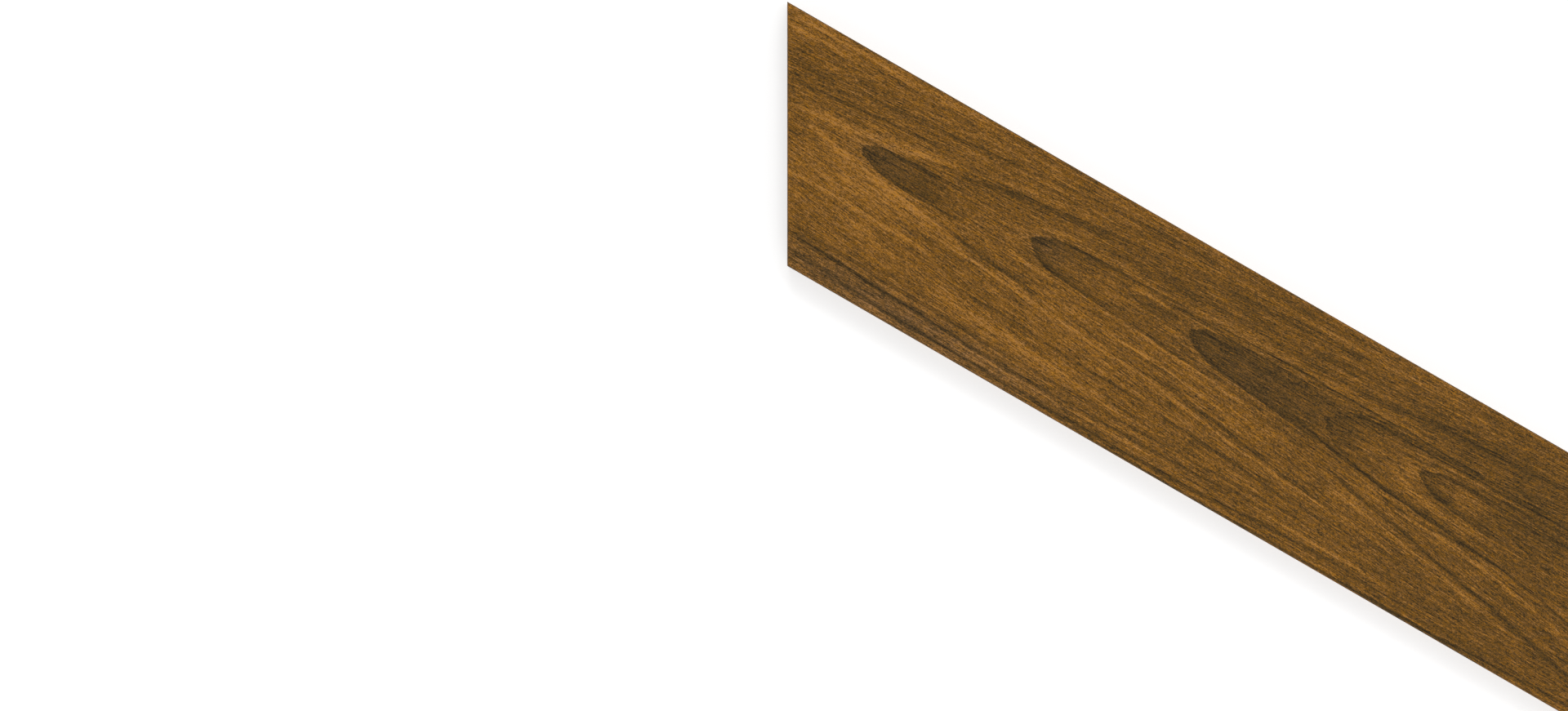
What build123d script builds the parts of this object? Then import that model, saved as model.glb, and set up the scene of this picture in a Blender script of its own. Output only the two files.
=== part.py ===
from build123d import *
import os
from math import radians, tan

# A chevron parquet plank, the one that lies to the right of the ridge of the chevron.
# It is one piece of solid hardwood: both ends are mitred the same way, the four face
# edges are bevelled, and a groove for a loose tongue runs all the way round.
# The plank lies on its back, face up. X runs with the grain, away from the ridge, and
# the origin is the middle of the back. Lengths are in millimetres.

# Face
plank_length = 600.0  # of each long edge, from mitre to mitre
plank_width = 150.0  # square across the grain
plank_thickness = 20.0
mitre_angle = 60.0  # degrees, between a long edge and a mitred end
face_bevel = 0.8  # each leg of the bevel round the face

# Groove for a loose tongue
face_to_groove = 8.0  # wood above the groove, which can be sanded down
groove_height = 5.0
groove_depth = 6.0
groove_lead_in = 0.4  # each leg of the bevels at the groove's mouth

# Below the groove the plank is a little smaller, so that neighbours close up at the face
back_set_back = 0.5

# Heights above the back
groove_top = plank_thickness - face_to_groove
groove_bottom = groove_top - groove_height

# How far the -Y edge is shifted along X against the +Y edge
edge_shift = plank_width / tan(radians(mitre_angle))


def face_corners():
    """The four corners of the face, from the sharp one beside the ridge, anticlockwise."""
    ridge_side = -(plank_length + edge_shift) / 2
    far_side = (plank_length + edge_shift) / 2
    return [
        (ridge_side, plank_width / 2),
        (ridge_side + edge_shift, -plank_width / 2),
        (far_side, -plank_width / 2),
        (far_side - edge_shift, plank_width / 2),
    ]


def mouth_edges(plank, height):
    """The outer edges of the ring-shaped face that looks into the groove at this height."""
    cheek = plank.faces().filter_by(Axis.Z).filter_by_position(Axis.Z, height, height)
    return cheek.face().outer_wire().edges()


with BuildSketch() as outline:
    Polygon(*face_corners(), align=None)

with BuildSketch() as groove_ring:
    add(outline.sketch)
    offset(outline.sketch, amount=-groove_depth, kind=Kind.INTERSECTION, mode=Mode.SUBTRACT)

with BuildSketch() as set_back_ring:
    add(outline.sketch)
    offset(outline.sketch, amount=-back_set_back, kind=Kind.INTERSECTION, mode=Mode.SUBTRACT)

with BuildPart() as plank:
    # Blank, sawn to length and mitred
    add(outline.sketch)
    extrude(amount=plank_thickness)
    chamfer(plank.faces().sort_by(Axis.Z)[-1].edges(), length=face_bevel)

    # Groove all round
    with BuildSketch(Plane.XY.offset(groove_bottom)):
        add(groove_ring.sketch)
    extrude(amount=groove_height, mode=Mode.SUBTRACT)

    # Set back below the groove
    with BuildSketch(Plane.XY):
        add(set_back_ring.sketch)
    extrude(amount=groove_bottom, mode=Mode.SUBTRACT)

    # Bevels that lead the tongue in
    chamfer(mouth_edges(plank, groove_top), length=groove_lead_in)
    chamfer(mouth_edges(plank, groove_bottom), length=groove_lead_in)

plank.part.label = "plank"

os.makedirs("parts", exist_ok=True)
export_step(plank.part, "parts/plank.step")
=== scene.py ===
"""A chevron parquet plank of brown hardwood, lying face up, seen from straight above."""
from math import cos, pi, radians, sin
from typing import NamedTuple

import bpy
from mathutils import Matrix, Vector


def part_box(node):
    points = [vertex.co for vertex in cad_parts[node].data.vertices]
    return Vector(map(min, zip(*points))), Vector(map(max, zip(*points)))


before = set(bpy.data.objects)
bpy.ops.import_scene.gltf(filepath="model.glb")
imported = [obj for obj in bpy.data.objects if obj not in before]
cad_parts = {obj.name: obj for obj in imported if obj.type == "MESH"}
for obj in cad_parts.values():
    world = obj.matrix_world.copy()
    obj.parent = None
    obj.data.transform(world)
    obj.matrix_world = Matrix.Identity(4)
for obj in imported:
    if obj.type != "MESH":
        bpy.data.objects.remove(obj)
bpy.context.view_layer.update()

# The photograph, in its own pixels
PHOTO_WIDTH = 1920
PHOTO_HEIGHT = 871
RIDGE_PIXEL = (964.0, 1.9)  # the plank's sharp corner, at the top of the ridge mitre
PLANK_WIDTH_PIXELS = 280.4  # square across the grain
GRAIN_TURN = radians(30)  # how far the grain dips to the right, below level

# The plank, in metres
LOW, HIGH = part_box("plank")
PLANK_WIDTH = HIGH.y - LOW.y
SHARP_CORNER = Vector((LOW.x, HIGH.y, HIGH.z))

# Materials measure in millimetres from the sharp corner: along the grain, across it, and
# in height above the plank's back
MM_PER_METRE = 1000.0
FACE_HEIGHT = HIGH.z * MM_PER_METRE
FACE_BEVEL = 0.8  # each leg of the bevel round the face
BEVEL_FOOT = FACE_HEIGHT - FACE_BEVEL


# Nodes

class Number:
    """A number worked out in a material. Plain arithmetic on it adds Math nodes."""

    def __init__(self, graph, socket):
        self.graph = graph
        self.socket = socket

    def __add__(self, other):
        return self.graph.math("ADD", self, other)

    __radd__ = __add__

    def __sub__(self, other):
        return self.graph.math("SUBTRACT", self, other)

    def __rsub__(self, other):
        return self.graph.math("SUBTRACT", other, self)

    def __mul__(self, other):
        return self.graph.math("MULTIPLY", self, other)

    __rmul__ = __mul__

    def __truediv__(self, other):
        return self.graph.math("DIVIDE", self, other)


class Noise(NamedTuple):
    """Soft noise about zero: the size of its features, and how far it swings to either side."""
    sizes: tuple  # along the grain, across it and in height
    swing: float = 1.0
    detail: float = 0.0
    roughness: float = 0.5
    shift: float = 0.0  # sets one noise apart from another


class Graph:
    """Adds nodes to one node tree and joins them up."""

    def __init__(self, tree):
        self.tree = tree
        tree.nodes.clear()

    def node(self, kind, inputs=None, **settings):
        node = self.tree.nodes.new("ShaderNode" + kind)
        for name, value in settings.items():
            setattr(node, name, value)
        for name, value in (inputs or {}).items():
            self.put(value, node.inputs[name])
        return node

    def put(self, value, socket):
        if isinstance(value, Number):
            value = value.socket
        if isinstance(value, bpy.types.NodeSocket):
            self.tree.links.new(value, socket)
        else:
            socket.default_value = value

    def math(self, operation, *values):
        node = self.node("Math", dict(enumerate(values)), operation=operation)
        return Number(self, node.outputs[0])

    def rise(self, value, start, end):
        """0 up to start and 1 from end on, with a smooth step between. Where start is the
        greater of the two, it falls from 1 to 0 instead. The step keeps to 0 and 1 by itself, so
        the node needs no clamp, which would only make a material of so many steps too long."""
        node = self.node("MapRange", {"Value": value, "From Min": start, "From Max": end},
                         interpolation_type="SMOOTHSTEP", clamp=False)
        return Number(self, node.outputs["Result"])

    def decay(self, value, length):
        """1 at zero, falling to about a third for every length."""
        return self.math("EXPONENT", value / length * -1)

    def hump(self, value, width):
        """1 at zero, falling to nothing about two widths to either side."""
        scaled = value / width
        return self.math("EXPONENT", scaled * scaled * -1)

    def mix(self, share, first, second):
        """The first number where the share is 0, and the second where it is 1."""
        return first + (second - first) * share

    def point(self, x, y, z):
        return self.node("CombineXYZ", {"X": x, "Y": y, "Z": z}).outputs["Vector"]

    def split(self, vector):
        axes = self.node("SeparateXYZ", {0: vector})
        return [Number(self, axes.outputs[name]) for name in "XYZ"]

    def mapped(self, point, scale, location=(0, 0, 0)):
        node = self.node("Mapping", {"Vector": point, "Scale": scale, "Location": location})
        return node.outputs["Vector"]

    def noise(self, point, kind):
        """Noise of this kind at a point. The node's own lies about a half, and seldom more than a
        quarter off it."""
        stretched = self.mapped(point, [1 / size for size in kind.sizes], (kind.shift,) * 3)
        node = self.node("TexNoise", {"Vector": stretched, "Scale": 1.0, "Detail": kind.detail,
                                      "Roughness": kind.roughness}, noise_dimensions="3D")
        return (Number(self, node.outputs["Fac"]) - 0.5) * (4 * kind.swing)

    def group(self, tree, values):
        """Adds a node group with these values on its inputs, and gives its outputs."""
        node = self.node("Group", node_tree=tree)
        for value, socket in zip(values, node.inputs):
            self.put(value, socket)
        return [Number(self, socket) for socket in node.outputs]


class Place(NamedTuple):
    """Where a point of the plank is, in millimetres: as a vector, and as its three numbers."""
    point: object
    along: Number
    across: Number
    height: Number


def numbers_in(shape):
    """The numbers in a tuple of numbers and tuples, in order."""
    for value in shape:
        yield from numbers_in(value) if isinstance(value, tuple) else (value,)


def refilled(shape, numbers):
    """The same tuple of numbers and tuples, with the next of these in each number's place."""
    values = []
    for value in shape:
        values.append(refilled(value, numbers) if isinstance(value, tuple) else next(numbers))
    return type(shape)(*values) if hasattr(shape, "_fields") else tuple(values)


def feature_group(name, work_out, example, outputs):
    """A node group that works out a feature's effect at a place. Its inputs are the place, along
    and across the grain, and then the feature's own numbers. What works it out gives a tuple,
    with a number for each output."""
    tree = bpy.data.node_groups.new(name, "ShaderNodeTree")
    graph = Graph(tree)
    inputs = ["along", "across"]
    inputs += [f"number_{index}" for index, _ in enumerate(numbers_in(example))]
    for socket in inputs:
        tree.interface.new_socket(socket, in_out="INPUT", socket_type="NodeSocketFloat")
    for socket in outputs:
        tree.interface.new_socket(socket, in_out="OUTPUT", socket_type="NodeSocketFloat")
    source = tree.nodes.new("NodeGroupInput")
    along, across, *numbers = (Number(graph, source.outputs[socket]) for socket in inputs)
    results = work_out(graph, along, across, refilled(example, iter(numbers)))
    sink = tree.nodes.new("NodeGroupOutput")
    for result, socket in zip(results, outputs):
        tree.links.new(result.socket, sink.inputs[socket])
    return tree


# The figure of the face

class Limb(NamedTuple):
    """One side of a growth ring's long arch: how far it stands from the line of the tip."""
    width: float  # reached behind the round nose
    nose: float  # length of the round nose
    spread: float  # added for each millimetre along the grain


class Ring(NamedTuple):
    """A growth ring that the face cuts into a long arch, with its tip towards the ridge."""
    tip: tuple  # along, across
    above: Limb
    below: Limb
    rim: tuple  # darkness of its sharp edge near the tip, and far along the limbs
    rim_depth: tuple  # how far that dark reaches inwards, near the tip and far along
    rim_length: float  # how soon the first of each turns into the second
    reach: float  # how far along the grain the edge shows
    glow: float  # lightness of the wood just outside the edge
    core: float = 0.0  # darkness of the wood inside, near the tip
    core_length: float = 60.0  # where half of it is left


class Streak(NamedTuple):
    """A band along the grain, bent through three points."""
    start: tuple
    middle: tuple
    end: tuple
    above: float  # how far it fades towards the upper edge
    below: float
    darkness: float  # less than zero for a light one


class Patch(NamedTuple):
    """A broad, soft patch of darker or lighter wood."""
    centre: tuple
    reach: tuple
    darkness: float


RINGS = (
    Ring(tip=(90, 57.8), above=Limb(24, 59, 0.07), below=Limb(22, 50, 0.055), rim=(0.05, 0.03),
         rim_depth=(9, 7), rim_length=30, reach=230, glow=0.06),
    Ring(tip=(88.6, 57.5), above=Limb(8.5, 10, 0.02), below=Limb(12, 11, 0.0), rim=(0.25, 0.18),
         rim_depth=(3, 2.5), rim_length=28, reach=85, glow=0.05, core=0.22, core_length=62),
    Ring(tip=(214, 55), above=Limb(10.7, 13.4, 0.02), below=Limb(12.8, 10.7, 0.05), rim=(0.36, 0.2),
         rim_depth=(8, 2.5), rim_length=60, reach=230, glow=0.12),
    Ring(tip=(291, 55.4), above=Limb(11, 16, 0.01), below=Limb(4, 14, 0.02), rim=(0.0, 0.0),
         rim_depth=(4, 3), rim_length=38, reach=41, glow=0.0, core=0.15, core_length=60),
    Ring(tip=(337, 56.2), above=Limb(10.7, 9.6, 0.0), below=Limb(11.2, 8, 0.08), rim=(0.1, 0.07),
         rim_depth=(3, 2), rim_length=60, reach=120, glow=0.08, core=0.22, core_length=108),
    Ring(tip=(442, 60.2), above=Limb(19.3, 18.7, 0.0), below=Limb(19.2, 18.4, 0.07), rim=(0.36, 0.27),
         rim_depth=(2.6, 3.6), rim_length=10, reach=260, glow=0.08),
    Ring(tip=(511, 60.5), above=Limb(8, 8.6, 0.07), below=Limb(10.7, 13.4, 0.06), rim=(0.44, 0.15),
         rim_depth=(5.5, 2.5), rim_length=22, reach=200, glow=0.1),
    Ring(tip=(567, 60), above=Limb(3.2, 8, 0.08), below=Limb(2.1, 10.7, 0.32), rim=(0.12, 0.1),
         rim_depth=(3, 3), rim_length=40, reach=100, glow=0.0, core=0.04, core_length=60),
)

DARK_STREAKS = (
    # Upper half
    Streak((29, 42.8), (80, 36.4), (139, 30.5), above=1.2, below=2.5, darkness=0.21),
    Streak((75, 27.3), (160, 19.3), (278, 8.6), above=1.5, below=3.0, darkness=0.15),
    Streak((158, 40.6), (215, 31), (268, 24.4), above=2.0, below=5.5, darkness=0.2),
    Streak((310, 20.3), (401, 16.5), (503, 11.5), above=1.5, below=3.5, darkness=0.1),
    Streak((268, 9.6), (364, 7), (460, 3.7), above=1.5, below=2.5, darkness=0.12),
    Streak((284, 35.8), (374, 28.9), (471, 20.3), above=2.0, below=3.5, darkness=0.1),
    Streak((455, 32.6), (519, 26.8), (610, 22.5), above=4.0, below=4.0, darkness=0.14),
    Streak((369, 42), (428, 40.7), (487, 40.1), above=0.8, below=1.6, darkness=0.27),
    Streak((465, 46), (535, 45.5), (621, 44.4), above=1.0, below=1.2, darkness=0.3),
    Streak((530, 51.9), (578, 54), (626, 55.6), above=1.2, below=1.5, darkness=0.2),
    Streak((217, 54), (235, 54), (259, 54.6), above=1.0, below=1.5, darkness=0.21),
    Streak((450, 51), (464, 45.8), (487, 41), above=1.2, below=3.0, darkness=0.26),
    Streak((484, 39.2), (519, 40.4), (552, 41.4), above=1.0, below=1.1, darkness=0.3),
    Streak((235, 47.5), (262, 45.6), (290, 44.5), above=1.5, below=1.5, darkness=0.14),
    # Lower half
    Streak((159, 77.6), (193, 81.6), (241, 86.7), above=5.0, below=1.0, darkness=0.24),
    Streak((438, 72), (484, 80), (545, 84.8), above=3.0, below=1.4, darkness=0.3),
    Streak((160, 105.9), (294, 110.2), (455, 119.3), above=2.0, below=2.5, darkness=0.2),
    Streak((297, 89.9), (396, 101.1), (530, 119.8), above=1.8, below=2.0, darkness=0.18),
    Streak((449, 86.1), (546, 104.3), (669, 127.3), above=2.0, below=3.0, darkness=0.27),
    Streak((498, 85.6), (511, 87.7), (540, 89.3), above=1.2, below=1.2, darkness=0.3),
    Streak((546, 87.5), (594, 89.6), (653, 101.5), above=2.0, below=1.8, darkness=0.3),
    Streak((75, 124.7), (150, 126.8), (225, 128.9), above=3.0, below=2.0, darkness=0.21),
    Streak((214, 128.9), (321, 129.5), (455, 126.3), above=2.0, below=1.8, darkness=0.12),
    Streak((78, 130), (144, 132.7), (225, 135.9), above=1.5, below=2.5, darkness=0.36),
    Streak((214, 135.6), (321, 135.9), (428, 132.7), above=1.2, below=1.8, darkness=0.2),
    Streak((80, 139.6), (241, 145), (470, 140.2), above=1.8, below=2.5, darkness=0.27),
    Streak((300, 148.4), (508, 148.2), (674, 143.9), above=1.8, below=2.2, darkness=0.3),
)

LIGHT_STREAKS = (
    Streak((211, 49), (227, 43), (243, 39.5), above=2.0, below=2.0, darkness=-0.22),
    Streak((0, 3.7), (70, 5.4), (155, 4.3), above=5.0, below=3.0, darkness=-0.26),
    Streak((6, 12.8), (34, 11.8), (62, 11.2), above=3.0, below=3.0, darkness=-0.3),
    Streak((48, 54.6), (88, 50.2), (134, 42), above=7.0, below=2.0, darkness=-0.36),
    Streak((59, 62.1), (110, 71.2), (152, 77.6), above=1.2, below=7.0, darkness=-0.35),
    Streak((40, 95.8), (96, 94.7), (160, 96.8), above=2.2, below=2.2, darkness=-0.33),
    Streak((166, 85.1), (235, 89.9), (316, 95.8), above=1.8, below=2.0, darkness=-0.31),
    Streak((206, 68.5), (222, 69.5), (241, 71.2), above=1.8, below=2.5, darkness=-0.36),
    Streak((284, 71.2), (342, 74.9), (401, 79.2), above=1.5, below=2.0, darkness=-0.26),
    Streak((289, 82.9), (337, 85.1), (396, 93.1), above=1.8, below=1.8, darkness=-0.34),
    Streak((171, 114), (241, 119.4), (326, 124.7), above=4.5, below=6.5, darkness=-0.19),
    Streak((337, 98.4), (396, 105.9), (500, 113), above=1.8, below=1.8, darkness=-0.32),
    Streak((209, 138), (278, 139.6), (358, 138), above=1.8, below=1.8, darkness=-0.35),
    Streak((428, 135.4), (476, 135.4), (530, 135.9), above=2.0, below=2.0, darkness=-0.3),
    Streak((498, 67.4), (522, 73.8), (572, 78.1), above=2.5, below=2.5, darkness=-0.27),
    Streak((508, 88.8), (583, 95.2), (653, 108.6), above=1.2, below=3.0, darkness=-0.26),
    Streak((476, 100), (535, 108.1), (605, 121.4), above=2.0, below=2.0, darkness=-0.26),
    Streak((310, 14.2), (385, 10.7), (455, 9.3), above=1.8, below=2.2, darkness=-0.13),
    Streak((292, 49.2), (308, 49.2), (324, 48.7), above=2.0, below=2.0, darkness=-0.35),
    Streak((498, 50.8), (530, 48.2), (567, 48.2), above=1.0, below=1.0, darkness=-0.15),
)

PATCHES = (
    Patch((92, 80), (64, 29), darkness=-0.12),
    Patch((225, 115), (70, 16), darkness=-0.05),
    Patch((40, 33), (21, 5), darkness=0.09),
    Patch((342, 28), (118, 22), darkness=0.06),
    Patch((570, 30), (85, 26), darkness=0.15),
    Patch((600, 67), (50, 27), darkness=0.1),
    Patch((640, 125), (110, 27), darkness=0.1),
    Patch((460, 75), (50, 22), darkness=0.05),
    Patch((531, 68), (9, 4), darkness=0.16),
    Patch((262, 58.5), (20, 4), darkness=-0.17),
    Patch((548, 60.8), (18, 4.5), darkness=-0.2),
    Patch((590, 138), (60, 7), darkness=0.08),
    Patch((105, 78), (34, 11), darkness=-0.08),
    Patch((500, 142), (45, 3), darkness=0.09),
    Patch((118, 141), (55, 8), darkness=0.11),
    Patch((117, 110), (38, 9), darkness=-0.08),
    Patch((160, 111), (25, 6), darkness=-0.05),
    Patch((212, 124), (30, 6), darkness=-0.08),
    Patch((278, 92), (14, 3), darkness=-0.1),
    Patch((278, 123), (16, 4), darkness=-0.08),
    Patch((330, 61.5), (8, 3), darkness=-0.12),
    Patch((419, 27.5), (24, 4), darkness=0.08),
    Patch((143, 59.5), (15, 6), darkness=0.1),
    Patch((494, 53), (15, 5), darkness=0.07),
    Patch((412, 10.5), (22, 4), darkness=0.07),
    Patch((412, 117), (16, 3), darkness=0.1),
    Patch((412, 69.5), (16, 3), darkness=-0.07),
    Patch((492, 22), (22, 4.5), darkness=0.08),
    Patch((265, 117), (32, 13), darkness=-0.05),
    Patch((517, 73.6), (12, 3.5), darkness=-0.12),
    Patch((11, 6), (37, 11), darkness=-0.1),
)

# Where the wood has less colour, and how much less
GREYED = (
    Patch((165, 142), (110, 11), darkness=0.085),
    Patch((108, 58), (22, 9), darkness=0.035),
    Patch((230, 55), (18, 7), darkness=0.045),
    Patch((385, 60), (50, 13), darkness=0.03),
)

NOSE_DEPTH = 0.35  # how fast a ring's edge comes in behind its tip
NOSE_ROUNDING = 1.5  # how smoothly a ring's two limbs meet
RIM_SHARPNESS = 1.0  # how far inside its edge a ring is fully dark
CORE_FADE = 0.5  # share of a core's length, to either side of it, over which the core goes
GLOW_REACH = 2.5  # of the light wood outside a ring
LINE_REACH = 10.0  # how deep in a ring the lines still bend round it
STREAK_FADE = 0.18  # share of a streak's length, to either side of its ends

# How far the rings, streaks and patches wander
FRAYED_ENDS = Noise((60, 1.1, 1.1), swing=3, detail=3, roughness=0.6)
UNEVEN_ENDS = Noise((90, 14, 14), swing=2)
LONG_WAVES = Noise((120, 30, 30), swing=0.6, shift=7)
SHORT_WAVES = Noise((30, 6, 6), swing=0.5, shift=3)

# What lies between them, as a share of darkness
CLOUDS = Noise((60, 8, 8), swing=0.04, shift=2)
SOFT_LINES = Noise((160, 2.6, 2.6), swing=0.11, detail=2, roughness=0.65, shift=4)
SHARP_LINES = Noise((240, 1.3, 1.3), detail=1, shift=9)
SHARP_LINE_START = 0.2  # what this noise has to reach before a line shows
SHARP_LINE_DARKNESS = 0.09
SHARP_LINES_MEAN = 0.015  # about what the sharp lines add on average, taken off again
LINES_IN_HEIGHT = 0.3  # how fast the lines change down the bevel, against across the face


def ring_effect(graph, along, across, ring):
    """How much a growth ring darkens the face at a point, and how far inside it the point is,
    in millimetres that count for less and less."""
    past_tip = along - ring.tip[0]
    behind = graph.math("MAXIMUM", past_tip, 0.0)
    aside = across - ring.tip[1]

    def limb_reach(limb):
        return (1 - graph.decay(behind, limb.nose)) * limb.width + behind * limb.spread

    depth = graph.math("SMOOTH_MIN", limb_reach(ring.above) + aside, limb_reach(ring.below) - aside,
                       NOSE_ROUNDING)
    depth = graph.math("MINIMUM", depth, past_tip * NOSE_DEPTH)
    sunk = graph.math("MAXIMUM", depth, 0.0)

    inside = graph.rise(depth, 0.0, RIM_SHARPNESS)
    near_tip = graph.decay(behind, ring.rim_length)
    rim = graph.mix(near_tip, ring.rim[1], ring.rim[0])
    rim = rim * graph.decay(sunk, graph.mix(near_tip, ring.rim_depth[1], ring.rim_depth[0]))
    core_start, core_end = (ring.core_length * share for share in (1 - CORE_FADE, 1 + CORE_FADE))
    core = graph.rise(behind, core_end, core_start) * ring.core
    outside = graph.math("MINIMUM", depth, 0.0) * -1
    glow = graph.math("MAXIMUM", graph.decay(outside, GLOW_REACH) - inside, 0.0)
    lasting = graph.hump(behind, ring.reach)
    darkness = inside * (rim * lasting + core) - glow * lasting * ring.glow
    return darkness, (1 - graph.decay(sunk, LINE_REACH)) * LINE_REACH


def streak_effect(graph, along, across, streak):
    """How much a streak darkens the face at a point."""
    (x1, y1), (x2, y2), (x3, y3) = streak.start, streak.middle, streak.end
    slope = (y2 - y1) / (x2 - x1)
    bend = ((y3 - y2) / (x3 - x2) - slope) / (x3 - x1)
    base = y1 - x1 * slope + x1 * x2 * bend
    off = across - ((along * bend + (slope - (x1 + x2) * bend)) * along + base)
    width = (1 - graph.rise(off, 0.0, streak.below)) * (1 - graph.rise(off * -1, 0.0, streak.above))
    fade = (x3 - x1) * STREAK_FADE
    length = graph.rise(along, x1 - fade, x1 + fade) * graph.rise(along, x3 + fade, x3 - fade)
    return (width * length * streak.darkness,)


def patch_effect(graph, along, across, patch):
    """How much a broad patch darkens the face at a point."""
    along_share = graph.hump(along - patch.centre[0], patch.reach[0])
    return (along_share * graph.hump(across - patch.centre[1], patch.reach[1]) * patch.darkness,)


def face_figure(graph, place):
    """How much darker than plain wood the face is at a point: arches, streaks and nested lines."""
    point, along, across, height = place
    along_bent = along + graph.noise(point, FRAYED_ENDS) + graph.noise(point, UNEVEN_ENDS)
    across_bent = across + graph.noise(point, LONG_WAVES) + graph.noise(point, SHORT_WAVES)

    figure = graph.noise(point, CLOUDS)
    nested = across
    ring_group = feature_group("growth_ring", ring_effect, RINGS[0], ("darkness", "nesting"))
    for ring in RINGS:
        darkness, nesting = graph.group(ring_group, [along_bent, across_bent, *numbers_in(ring)])
        figure = figure + darkness
        nested = nested + nesting
    streak_group = feature_group("streak", streak_effect, DARK_STREAKS[0], ("darkness",))
    for streak in DARK_STREAKS + LIGHT_STREAKS:
        darkness, = graph.group(streak_group, [along_bent, across_bent, *numbers_in(streak)])
        figure = figure + darkness
    patch_group = feature_group("patch", patch_effect, PATCHES[0], ("darkness",))
    for patch in PATCHES:
        darkness, = graph.group(patch_group, [along_bent, across_bent, *numbers_in(patch)])
        figure = figure + darkness

    bent = graph.point(along, nested, height * LINES_IN_HEIGHT)
    soft_lines = graph.noise(bent, SOFT_LINES)
    sharp_lines = graph.rise(graph.noise(bent, SHARP_LINES), SHARP_LINE_START, 1.0)
    return figure + soft_lines + sharp_lines * SHARP_LINE_DARKNESS - SHARP_LINES_MEAN


# The figure where the plank was sawn

HEART_ACROSS = 58.0
HEART_DROP = 60.0  # how far the heart of the tree ran below the back
TAPER = 0.04  # of the tree, for each millimetre along the grain
RING_SPACING = 4.4
RING_WANDER = Noise((140, 16, 16), swing=2.5, detail=2, shift=23)
LATE_WOOD_DARKNESS = 0.36
LATE_WOOD_END = 0.9  # share of a ring from which its dark late wood gives way to the next ring
SAWN_CLOUDS = Noise((200, 9, 9), swing=0.06, detail=1, shift=31)


def sawn_figure(graph, place):
    """Growth rings as the other cuts meet them: cones about the heart of the tree."""
    point, along, across, height = place
    aside = across - HEART_ACROSS
    drop = height + HEART_DROP
    radius = graph.math("SQRT", aside * aside + drop * drop) - along * TAPER
    turn = graph.math("FRACT", (radius + graph.noise(point, RING_WANDER)) * (1 / RING_SPACING))
    late_wood = turn * turn * turn * graph.rise(turn, 1.0, LATE_WOOD_END)
    return late_wood * LATE_WOOD_DARKNESS + graph.noise(point, SAWN_CLOUDS)


# Fibres, colours and relief

class Fibre(NamedTuple):
    """A size of fleck or fibre, and how strongly it shows."""
    length: float
    width: float
    contrast: float


FIBRES = (
    Fibre(1.0, 0.6, contrast=0.24),
    Fibre(2.5, 0.35, contrast=0.18),
    Fibre(6.0, 0.3, contrast=0.1),
    Fibre(14.0, 0.3, contrast=0.23),
    Fibre(45.0, 0.4, contrast=0.04),
)

FIBRE_SHIFT = 11.3  # between the noise of one size of fibre and the next
SET_SHIFT = 50.0  # between the two sets of leaning stretches


class Lean(NamedTuple):
    """A strip along the plank in which the fibres lean, like the bands of the figure there."""
    across: float
    reach: float
    slope: float


LEANS = (
    Lean(across=100, reach=25, slope=0.13),
    Lean(across=31, reach=18, slope=-0.09),
)

LEAN_STRETCH = 70.0  # the fibres lean a stretch of the plank at a time


def fibres(graph, place):
    """How much lighter or darker a point is than the figure under it. The fibres lean like the
    bands of the figure: two sets of leaning stretches fade into each other along the plank."""
    along, across, height = place.along, place.across, place.height
    lean = 0
    for strip in LEANS:
        lean = lean + graph.hump(across - strip.across, strip.reach) * strip.slope
    stretch = graph.math("FRACT", along / LEAN_STRETCH)
    share = 1 - graph.math("ABSOLUTE", stretch * 2 - 1)
    contrast = 0
    for set_number, weight in enumerate((share, 1 - share)):
        turn = graph.math("FRACT", along / LEAN_STRETCH + set_number / 2)
        leaning = graph.point(along, across - lean * (turn - 0.5) * LEAN_STRETCH, height)
        total = 0
        for number, fibre in enumerate(FIBRES):
            sizes = (fibre.length, fibre.width, fibre.width)
            shift = FIBRE_SHIFT * number + SET_SHIFT * set_number
            total = total + graph.noise(leaning, Noise(sizes, swing=fibre.contrast, shift=shift))
        contrast = contrast + total * weight
    evened = graph.math("SQRT", share * share + (1 - share) * (1 - share))
    return contrast / evened


OIL_SHEEN = 0.0066  # what the oil reflects of the studio, on top of the wood's own colour


def linear(red, green, blue):
    """The colour of wood that is seen at these levels on screen, 0 to 255, under its sheen."""
    def one(level):
        share = level / 255
        return (share / 12.92 if share <= 0.04045 else ((share + 0.055) / 1.055) ** 2.4) - OIL_SHEEN
    return (one(red), one(green), one(blue), 1.0)


WOOD_TONES = (
    # brightness, and the wood's colour there
    (0.2, linear(34, 28, 22)),
    (0.293, linear(48, 37, 26)),
    (0.395, linear(67, 53, 29)),
    (0.518, linear(90, 66.6, 34.3)),
    (0.627, linear(110, 77.5, 36.5)),
    (0.777, linear(137, 95, 43)),
    (1.0, linear(174, 123, 62)),
)


def wood_colour(graph, brightness):
    """The wood's colour at this brightness."""
    ramp = graph.node("ValToRGB", {"Fac": brightness})
    stops = ramp.color_ramp.elements
    while len(stops) < len(WOOD_TONES):
        stops.new(0.5)
    for stop, (place, colour) in zip(stops, WOOD_TONES):
        stop.position = place
        stop.color = colour
    return ramp.outputs["Color"]


OPEN_FIBRES = Noise((9, 0.5, 0.5), swing=0.02, detail=1, shift=40)
RIPPLE_SPACING = 2.6  # of the planer's ripples
RIPPLE_HEIGHT = 0.004
SAW_AXLE_ACROSS = 20.0  # the saw's arcs on the ends turn about its axle, below the back
SAW_AXLE_HEIGHT = -150.0
SAW_MARK_SPACING = 1.7
SAW_MARK_HEIGHT = 0.012


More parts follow.
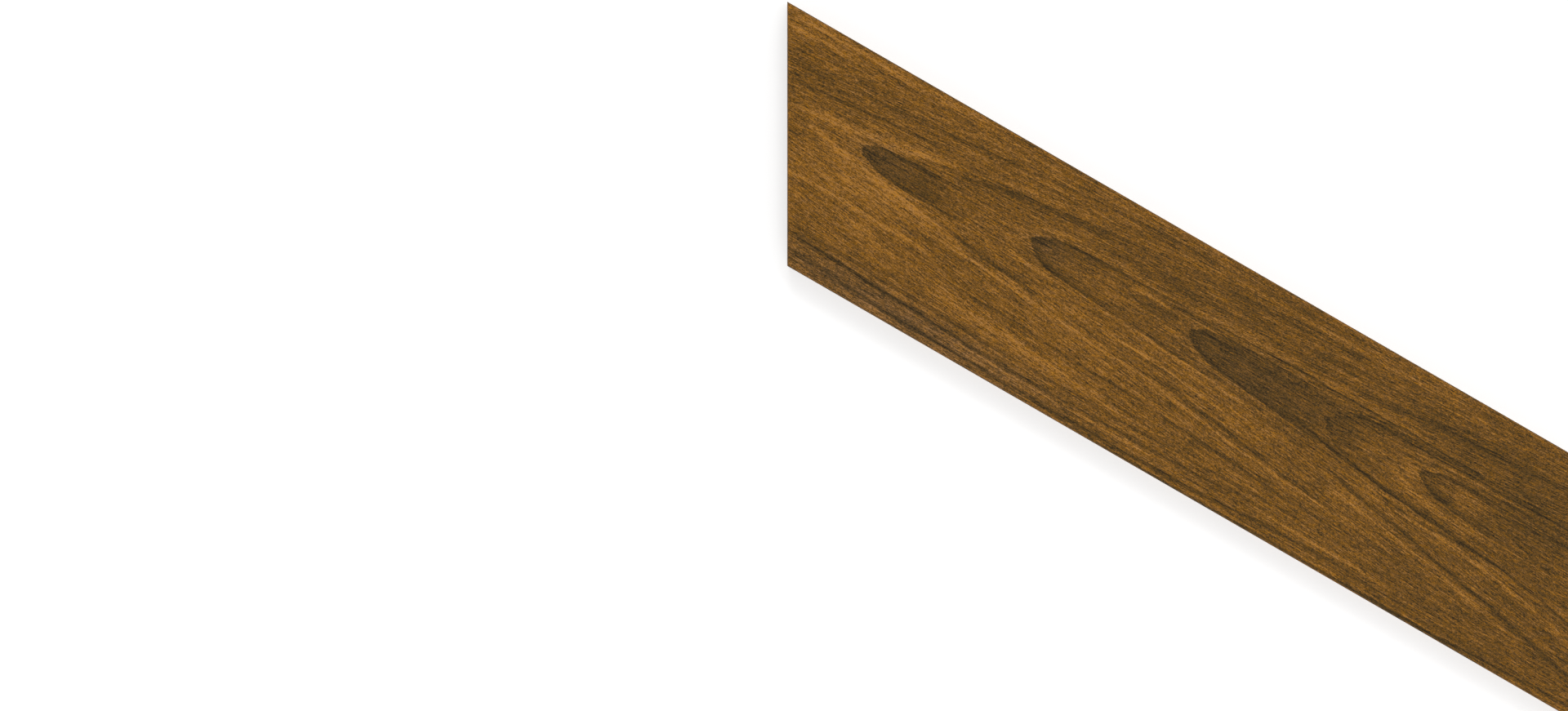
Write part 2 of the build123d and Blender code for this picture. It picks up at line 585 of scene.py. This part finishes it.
def relief(graph, place, oiled, end):
    """Height of the surface in millimetres: open fibres everywhere, ripples on the sawn sides and
    back, and the saw's arcs on the ends."""
    point, along, across, height = place
    ripples = graph.math("SINE", along * (2 * pi / RIPPLE_SPACING)) * RIPPLE_HEIGHT
    aside = across - SAW_AXLE_ACROSS
    above = height - SAW_AXLE_HEIGHT
    saw_arc = graph.math("SQRT", aside * aside + above * above)
    saw_marks = graph.math("SINE", saw_arc * (2 * pi / SAW_MARK_SPACING)) * SAW_MARK_HEIGHT
    return graph.noise(point, OPEN_FIBRES) + (1 - oiled) * graph.mix(end, ripples, saw_marks)


# The oiled face with its bevels, against the raw wood of every other surface

OIL_EDGE = 0.1  # how far below the bevel the oil ends
BEVEL_EDGE = (0.05, 0.15)  # below the face, where the bevel starts
END_FACING = (0.4, 0.6)  # how squarely a surface looks along the grain before it counts as an end

PLAIN_BRIGHTNESS = 0.647  # of oiled wood without figure
RAW_BRIGHTNESS = 1.22  # against oiled wood
# painted shade: the bevels are coloured a little darker than the face, as if shaded
BEVEL_PAINTED_SHADE = 0.04
END_SHADE = 0.22
RAW_FIBRES = 0.5  # how much of the fibres' contrast is left without oil

OILED_SATURATION = 1.02
RAW_SATURATION = 0.84
OILED_ROUGHNESS = 0.47
RAW_ROUGHNESS = 0.72
FLECKS = Noise((4, 0.6, 0.6), swing=0.05, shift=60)  # in saturation and roughness
SPECULAR_LEVEL = 0.2


def wood_brightness(graph, place, oiled, bevel, end):
    """How bright the wood is at a point, from 0 to 1 on the scale of its tones."""
    figure = graph.mix(oiled, sawn_figure(graph, place), face_figure(graph, place))
    contrast = fibres(graph, place) * graph.mix(oiled, RAW_FIBRES, 1)
    plain = graph.mix(oiled, RAW_BRIGHTNESS, 1) * PLAIN_BRIGHTNESS
    # painted shade on the bevels, and the raw end grain's own darker colour on the ends
    painted_bevel_shade_and_end_grain = (1 - bevel * BEVEL_PAINTED_SHADE) * (1 - end * (1 - oiled) * END_SHADE)
    return (1 - figure) * (1 + contrast) * plain * painted_bevel_shade_and_end_grain


def greying(graph, place):
    """How much less colour than elsewhere the wood has at a point."""
    total = 0
    for patch in GREYED:
        amount, = patch_effect(graph, place.along, place.across, patch)
        total = total + amount
    return total


def hardwood():
    """Brown and oiled on the face and its bevels, raw and drier wherever it was sawn or grooved."""
    material = bpy.data.materials.new("oiled_hardwood")
    material.use_nodes = True
    graph = Graph(material.node_tree)
    coordinates = graph.node("TexCoord")
    point = graph.mapped(coordinates.outputs["Object"], (MM_PER_METRE, -MM_PER_METRE, MM_PER_METRE),
                         (-LOW.x * MM_PER_METRE, HIGH.y * MM_PER_METRE, 0))
    place = Place(point, *graph.split(point))
    height = place.height

    oiled = graph.rise(height, BEVEL_FOOT - OIL_EDGE, BEVEL_FOOT)
    bevel = graph.rise(height, *(FACE_HEIGHT - depth for depth in BEVEL_EDGE)) * oiled
    facing = graph.split(coordinates.outputs["Normal"])[0]
    end = graph.rise(graph.math("ABSOLUTE", facing), *END_FACING)

    brightness = wood_brightness(graph, place, oiled, bevel, end)
    flecks = graph.noise(point, FLECKS)
    saturation = graph.mix(oiled, RAW_SATURATION, OILED_SATURATION - greying(graph, place)) + flecks
    colour = graph.node("HueSaturation", {"Color": wood_colour(graph, brightness),
                                          "Saturation": saturation})

    bump = graph.node("Bump", {"Height": relief(graph, place, oiled, end), "Strength": 1.0,
                               "Distance": 1 / MM_PER_METRE})
    shader = graph.node("BsdfPrincipled", {
        "Base Color": colour.outputs["Color"],
        "Roughness": graph.mix(oiled, RAW_ROUGHNESS, OILED_ROUGHNESS) + flecks,
        "Specular IOR Level": SPECULAR_LEVEL,
        "Normal": bump.outputs["Normal"],
    })
    graph.node("OutputMaterial", {"Surface": shader.outputs["BSDF"]})
    return material


# The studio

FLOOR_SIZE = 60.0
FLOOR_GREY = 0.7
NEAR_GLOW = 0.52
FAR_GLOW = 0.72
FAR_FLOOR = (1.0, 4.0)  # metres from the plank, where the glow turns from the near to the far one

SKY_DIMS = (0.3, 0.85)  # between level and overhead, where the sky turns darker
SKY_DIMMING = 0.8
LAMPS = (("left_lamp", 210), ("right_lamp", 30), ("back_lamp", 120))  # degrees, from -Y towards +X
LAMP_ELEVATION = 40  # degrees
LAMP_DISTANCE = 3.0
LAMP_SIZE = 1.6
LAMP_WATTS = 26

CAMERA_LENS = 200  # millimetres, long, because the photograph shows no perspective
CAMERA_RANGE = 100


def floor_material():
    """Matt white. The camera sees it as white where it is lit, and grey only in the shadow. Far
    from the plank, where the lamps hardly reach, it glows more, and is white up to the horizon."""
    material = bpy.data.materials.new("white_floor")
    material.use_nodes = True
    graph = Graph(material.node_tree)
    path = graph.node("LightPath")
    seen = graph.math("MAXIMUM", path.outputs["Is Camera Ray"], path.outputs["Is Glossy Ray"])
    seen = graph.math("MAXIMUM", seen, path.outputs["Is Transmission Ray"])
    x, y, _ = graph.split(graph.node("TexCoord").outputs["Object"])
    far = graph.rise(graph.math("SQRT", x * x + y * y), *FAR_FLOOR)
    strength = seen * graph.mix(far, NEAR_GLOW, FAR_GLOW)
    matt = graph.node("BsdfDiffuse", {"Color": (FLOOR_GREY, FLOOR_GREY, FLOOR_GREY, 1)})
    glow = graph.node("Emission", {"Color": (1, 1, 1, 1), "Strength": strength})
    both = graph.node("AddShader", {0: matt.outputs[0], 1: glow.outputs[0]})
    graph.node("OutputMaterial", {"Surface": both.outputs[0]})
    return material


def add_floor():
    bpy.ops.mesh.primitive_plane_add(size=FLOOR_SIZE, location=(0, 0, 0))
    floor = bpy.context.object
    floor.name = "floor"
    floor.data.materials.append(floor_material())


def add_lamp(name, azimuth, elevation):
    """A square lamp that shines at the plank from this side and height."""
    direction = Vector((sin(azimuth) * cos(elevation), -cos(azimuth) * cos(elevation), sin(elevation)))
    data = bpy.data.lights.new(name, "AREA")
    data.shape = "SQUARE"
    data.size = LAMP_SIZE
    data.energy = LAMP_WATTS
    lamp = bpy.data.objects.new(name, data)
    lamp.location = direction * LAMP_DISTANCE
    lamp.rotation_mode = "QUATERNION"
    lamp.rotation_quaternion = (-direction).to_track_quat("-Z", "Y")
    bpy.context.scene.collection.objects.link(lamp)


def light_studio():
    """An even white sky, darker overhead, and three lamps round the plank."""
    world = bpy.data.worlds.new("studio")
    bpy.context.scene.world = world
    world.use_nodes = True
    graph = Graph(world.node_tree)
    coordinates = graph.node("TexCoord")
    overhead = graph.rise(graph.split(coordinates.outputs["Generated"])[2], *SKY_DIMS)
    background = graph.node("Background", {"Color": (1, 1, 1, 1), "Strength": 1 - overhead * SKY_DIMMING})
    graph.node("OutputWorld", {"Surface": background.outputs[0]})
    for name, azimuth in LAMPS:
        add_lamp(name, radians(azimuth), radians(LAMP_ELEVATION))


def add_camera():
    """Looks straight down, so that the plank falls where the photograph has it."""
    metres_per_pixel = PLANK_WIDTH / PLANK_WIDTH_PIXELS
    right = Vector((cos(GRAIN_TURN), sin(GRAIN_TURN), 0))
    up = Vector((-sin(GRAIN_TURN), cos(GRAIN_TURN), 0))
    across = PHOTO_WIDTH / 2 - RIDGE_PIXEL[0]
    down = PHOTO_HEIGHT / 2 - RIDGE_PIXEL[1]
    target = SHARP_CORNER + (right * across - up * down) * metres_per_pixel
    data = bpy.data.cameras.new("camera")
    data.lens = CAMERA_LENS
    data.clip_end = CAMERA_RANGE
    half_width = PHOTO_WIDTH / 2 * metres_per_pixel
    distance = half_width / (data.sensor_width / 2 / data.lens)
    camera = bpy.data.objects.new("camera", data)
    camera.location = target + Vector((0, 0, distance))
    camera.rotation_euler = (0, 0, GRAIN_TURN)
    bpy.context.scene.collection.objects.link(camera)
    bpy.context.scene.camera = camera


add_camera()
light_studio()
add_floor()
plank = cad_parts["plank"]
plank.data.materials.clear()
plank.data.materials.append(hardwood())
bpy.context.scene.view_settings.view_transform = "Standard"
